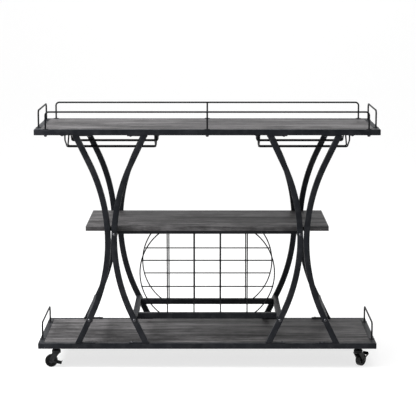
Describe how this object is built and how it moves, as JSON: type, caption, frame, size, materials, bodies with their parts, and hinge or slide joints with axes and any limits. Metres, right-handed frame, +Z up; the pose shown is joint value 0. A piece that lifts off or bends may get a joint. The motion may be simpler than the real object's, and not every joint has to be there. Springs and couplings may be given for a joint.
{
  "type": "bar cart",
  "caption": "Long bar cart on swivel castors: wooden tiers in square steel tube, curved paired legs, a wine grid and hanging glass rails",
  "frame": {"origin": "on the floor, under the middle of the cart", "axes": "+X along the cart to the right, +Y to the rear (the front faces -Y), +Z up"},
  "size_m": [1.2, 0.3866, 0.916],
  "materials": {
    "steel": "dark graphite powder coat, satin",
    "wire": "dark graphite powder coat, satin",
    "wood": "weathered grey oak, matt lacquer, grain along the length",
    "bolts": "black plated fasteners, satin",
    "castor_metal": "black lacquered pressed steel",
    "tread": "hard black tread, glossy",
    "hub": "moulded wheel centre"
  },
  "bodies": {
    "cart": {"top_frame": "steel", "bottom_frame": "steel", "shelf_frame": "steel", "rack_frame": "steel", "left_stretcher": "steel", "right_stretcher": "steel", "front_left_outer_leg": "steel", "front_left_inner_leg": "steel", "front_right_outer_leg": "steel", "front_right_inner_leg": "steel", "rear_left_outer_leg": "steel", "rear_left_inner_leg": "steel", "rear_right_outer_leg": "steel", "rear_right_inner_leg": "steel", "top_front_rail": "wire", "top_rear_rail": "wire", "top_left_rail": "wire", "top_right_rail": "wire", "bottom_left_rail": "wire", "bottom_right_rail": "wire", "front_grid_uprights": "wire", "front_grid_crosswires": "wire", "front_grid_hoops": "wire", "rear_grid_uprights": "wire", "rear_grid_crosswires": "wire", "rear_grid_hoops": "wire", "left_glass_front_wire": "wire", "left_glass_middle_loop": "wire", "left_glass_rear_wire": "wire", "right_glass_front_wire": "wire", "right_glass_middle_loop": "wire", "right_glass_rear_wire": "wire", "top_board": "wood", "middle_board": "wood", "bottom_board": "wood", "leg_bolts": "bolts", "frame_bolts": "bolts", "rail_nuts": "bolts", "board_screws": "bolts", "glass_rail_screws": "bolts", "castor_stems": "castor_metal", "castor_nuts": "castor_metal"},
    "front_left_swivel": {"front_left_fork": "castor_metal", "front_left_axle": "castor_metal"},
    "front_left_wheel": {"front_left_tyre": "tread", "front_left_hub": "hub"},
    "front_right_swivel": {"front_right_fork": "castor_metal", "front_right_axle": "castor_metal"},
    "front_right_wheel": {"front_right_tyre": "tread", "front_right_hub": "hub"},
    "rear_left_swivel": {"rear_left_fork": "castor_metal", "rear_left_axle": "castor_metal"},
    "rear_left_wheel": {"rear_left_tyre": "tread", "rear_left_hub": "hub"},
    "rear_right_swivel": {"rear_right_fork": "castor_metal", "rear_right_axle": "castor_metal"},
    "rear_right_wheel": {"rear_right_tyre": "tread", "rear_right_hub": "hub"},
    "front_left_brake": {"front_left_brake_lever": "castor_metal"},
    "front_right_brake": {"front_right_brake_lever": "castor_metal"}
  },
  "joints": [
    {"name": "front_left_swivel_turn", "type": "hinge", "parent": "cart", "child": "front_left_swivel", "pos_m": [-0.538, -0.16, 0.06], "axis": [0, 0, 1], "continuous": true},
    {"name": "front_left_wheel_roll", "type": "hinge", "parent": "front_left_swivel", "child": "front_left_wheel", "pos_m": [-0.556, -0.16, 0.0225], "axis": [0, -1, 0], "continuous": true},
    {"name": "front_right_swivel_turn", "type": "hinge", "parent": "cart", "child": "front_right_swivel", "pos_m": [0.538, -0.16, 0.06], "axis": [0, 0, 1], "continuous": true},
    {"name": "front_right_wheel_roll", "type": "hinge", "parent": "front_right_swivel", "child": "front_right_wheel", "pos_m": [0.54957, -0.14621, 0.0225], "axis": [-0.766, 0.6428, 0], "continuous": true},
    {"name": "rear_left_swivel_turn", "type": "hinge", "parent": "cart", "child": "rear_left_swivel", "pos_m": [-0.538, 0.16, 0.06], "axis": [0, 0, 1], "continuous": true},
    {"name": "rear_left_wheel_roll", "type": "hinge", "parent": "rear_left_swivel", "child": "rear_left_wheel", "pos_m": [-0.55431, 0.15239, 0.0225], "axis": [0.4226, -0.9063, 0], "continuous": true},
    {"name": "rear_right_swivel_turn", "type": "hinge", "parent": "cart", "child": "rear_right_swivel", "pos_m": [0.538, 0.16, 0.06], "axis": [0, 0, 1], "continuous": true},
    {"name": "rear_right_wheel_roll", "type": "hinge", "parent": "rear_right_swivel", "child": "rear_right_wheel", "pos_m": [0.55491, 0.15384, 0.0225], "axis": [0.342, 0.9397, 0], "continuous": true},
    {"name": "front_left_brake_press", "type": "hinge", "parent": "front_left_swivel", "child": "front_left_brake", "pos_m": [-0.556, -0.16, 0.0225], "axis": [0, 1, 0], "range_deg": [0, 12]},
    {"name": "front_right_brake_press", "type": "hinge", "parent": "front_right_swivel", "child": "front_right_brake", "pos_m": [0.54957, -0.14621, 0.0225], "axis": [-0.766, 0.6428, 0], "range_deg": [0, 12]}
  ]
}
